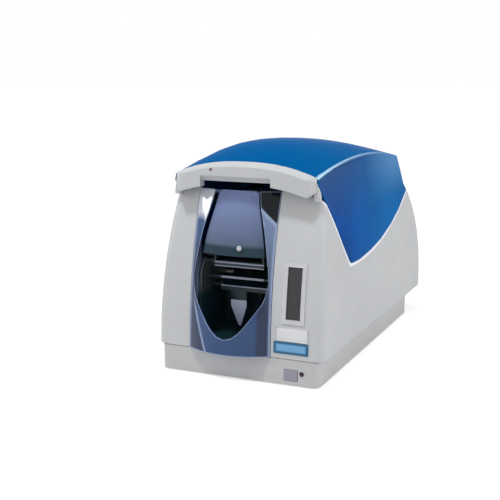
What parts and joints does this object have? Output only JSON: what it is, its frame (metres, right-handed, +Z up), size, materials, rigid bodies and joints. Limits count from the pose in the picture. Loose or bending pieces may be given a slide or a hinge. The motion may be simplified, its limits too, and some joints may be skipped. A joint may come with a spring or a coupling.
{
  "type": "id card printer",
  "caption": "Desktop card printer: moulded grey housing, translucent blue hinged cover, bowed front opening with card hoppers, display window and roller card path.",
  "frame": {"origin": "bottom centre of the bounding box, on the ground under the feet", "axes": "+X to the right seen from the front, +Y from the front to the back, +Z up"},
  "size_m": [0.2, 0.437, 0.2569],
  "materials": {
    "shell": "fine moulded texture",
    "base": "fine moulded texture",
    "blue_clear": "translucent blue moulding",
    "smoke": "smoked translucent moulding",
    "dark": "satin",
    "grey_part": "satin",
    "steel": "plain",
    "alu": "satin",
    "rubber": "matt",
    "clean": "tacky",
    "board": "solder mask",
    "button": "satin",
    "lamp": "clear lens",
    "film": "thin film",
    "panel_trim": "satin"
  },
  "bodies": {
    "body": {"base_pan": "base", "feet": "rubber", "housing": "shell", "front_bezel": "blue_clear", "output_hopper": "dark", "input_hopper": "dark", "chassis_left": "steel", "chassis_right": "steel", "cross_ties": "steel", "exit_chute": "dark", "drive_belt": "rubber", "exit_belt": "rubber", "drive_motor": "grey_part", "pick_motor": "grey_part", "take_motor": "grey_part", "ribbon_film": "film", "main_board": "board", "power_board": "board", "port_board": "board", "data_socket": "steel", "power_inlet": "dark", "switch_frame": "dark", "fan_frame": "dark", "display_frame": "panel_trim", "display_window": "smoke", "display_board": "board", "button_board": "board", "status_lamp": "lamp", "hinge_pins": "steel", "board_spacers": "panel_trim", "frame_angles": "steel"},
    "cover": {"lid": "blue_clear", "lid_hood": "shell"},
    "smoked_flap": {"hopper_cover": "smoke", "cover_catch": "alu"},
    "weight": {"card_weight": "grey_part"},
    "gate": {"divert_gate": "grey_part"},
    "pick": {"pick_roller": "rubber"},
    "exit_drive": {"exit_roller": "rubber"},
    "exit_idle": {"exit_pinch": "grey_part"},
    "feed_drive": {"feed_roller": "rubber"},
    "feed_idle": {"feed_pinch": "grey_part"},
    "cleaner": {"clean_roller": "clean"},
    "platen": {"platen_roller": "rubber"},
    "back_drive": {"back_roller": "rubber"},
    "back_idle": {"back_pinch": "grey_part"},
    "motor_drive": {"motor_pulley": "alu"},
    "head": {"head_arm": "steel", "print_head": "alu"},
    "supply": {"supply_spool": "grey_part"},
    "take_up": {"take_spool": "grey_part"},
    "rocker": {"power_rocker": "dark"},
    "fan": {"fan_rotor": "dark"},
    "button": {"user_button": "button"}
  },
  "joints": [
    {"name": "lid_hinge", "type": "hinge", "parent": "body", "child": "cover", "pos_m": [0, 0.1627, 0.1784], "axis": [-1, 0, 0], "range_deg": [0, 68]},
    {"name": "flap_hinge", "type": "hinge", "parent": "body", "child": "smoked_flap", "pos_m": [0, -0.1675, 0.2035], "axis": [-1, 0, 0], "range_deg": [0, 38]},
    {"name": "weight_slide", "type": "slide", "parent": "body", "child": "weight", "axis": [0, 0, 1], "range_m": [0, 0.05]},
    {"name": "gate_hinge", "type": "hinge", "parent": "body", "child": "gate", "pos_m": [0, -0.0829, 0.1224], "axis": [1, 0, 0], "range_deg": [0, 45]},
    {"name": "pick_spin", "type": "hinge", "parent": "body", "child": "pick", "pos_m": [0, -0.1415, 0.12], "axis": [1, 0, 0], "continuous": true},
    {"name": "feed_spin", "type": "hinge", "parent": "body", "child": "feed_drive", "pos_m": [0, -0.0625, 0.119], "axis": [1, 0, 0], "continuous": true},
    {"name": "platen_spin", "type": "hinge", "parent": "body", "child": "platen", "pos_m": [0, -0.0065, 0.119], "axis": [1, 0, 0], "continuous": true},
    {"name": "back_spin", "type": "hinge", "parent": "body", "child": "back_drive", "pos_m": [0, 0.0495, 0.119], "axis": [1, 0, 0], "continuous": true},
    {"name": "exit_spin", "type": "hinge", "parent": "body", "child": "exit_drive", "pos_m": [0, -0.1135, 0.1005], "axis": [1, 0, 0], "continuous": true},
    {"name": "motor_spin", "type": "hinge", "parent": "body", "child": "motor_drive", "pos_m": [0, 0.0215, 0.0915], "axis": [1, 0, 0], "continuous": true},
    {"name": "exit_idle_spin", "type": "hinge", "parent": "body", "child": "exit_idle", "pos_m": [0, -0.1135, 0.1116], "axis": [1, 0, 0], "continuous": true},
    {"name": "feed_idle_spin", "type": "hinge", "parent": "body", "child": "feed_idle", "pos_m": [0, -0.0625, 0.1338], "axis": [1, 0, 0], "continuous": true},
    {"name": "back_idle_spin", "type": "hinge", "parent": "body", "child": "back_idle", "pos_m": [0, 0.0495, 0.1338], "axis": [1, 0, 0], "continuous": true},
    {"name": "clean_spin", "type": "hinge", "parent": "body", "child": "cleaner", "pos_m": [0, -0.0345, 0.1368], "axis": [1, 0, 0], "continuous": true},
    {"name": "head_hinge", "type": "hinge", "parent": "body", "child": "head", "pos_m": [0, 0.0945, 0.146], "axis": [-1, 0, 0], "range_deg": [0, 3]},
    {"name": "supply_spin", "type": "hinge", "parent": "body", "child": "supply", "pos_m": [0, 0.0485, 0.183], "axis": [1, 0, 0], "continuous": true},
    {"name": "take_spin", "type": "hinge", "parent": "body", "child": "take_up", "pos_m": [0, -0.0515, 0.18], "axis": [1, 0, 0], "continuous": true},
    {"name": "rocker_hinge", "type": "hinge", "parent": "body", "child": "rocker", "pos_m": [0, 0.1565, 0.0165], "axis": [1, 0, 0], "range_deg": [0, 10]},
    {"name": "fan_spin", "type": "hinge", "parent": "body", "child": "fan", "pos_m": [0, 0.2035, 0.0576], "axis": [0, 1, 0], "continuous": true},
    {"name": "button_press", "type": "slide", "parent": "body", "child": "button", "axis": [0, 1, 0], "range_m": [0, 0.0012], "stiffness_N_per_m": 600, "springref_m": -0.0008}
  ],
  "couplings": [
    {"joint": "platen_spin", "follows": "feed_spin", "ratio": 1},
    {"joint": "back_spin", "follows": "feed_spin", "ratio": 1},
    {"joint": "exit_spin", "follows": "feed_spin", "ratio": 1},
    {"joint": "motor_spin", "follows": "feed_spin", "ratio": 1.3333}
  ]
}
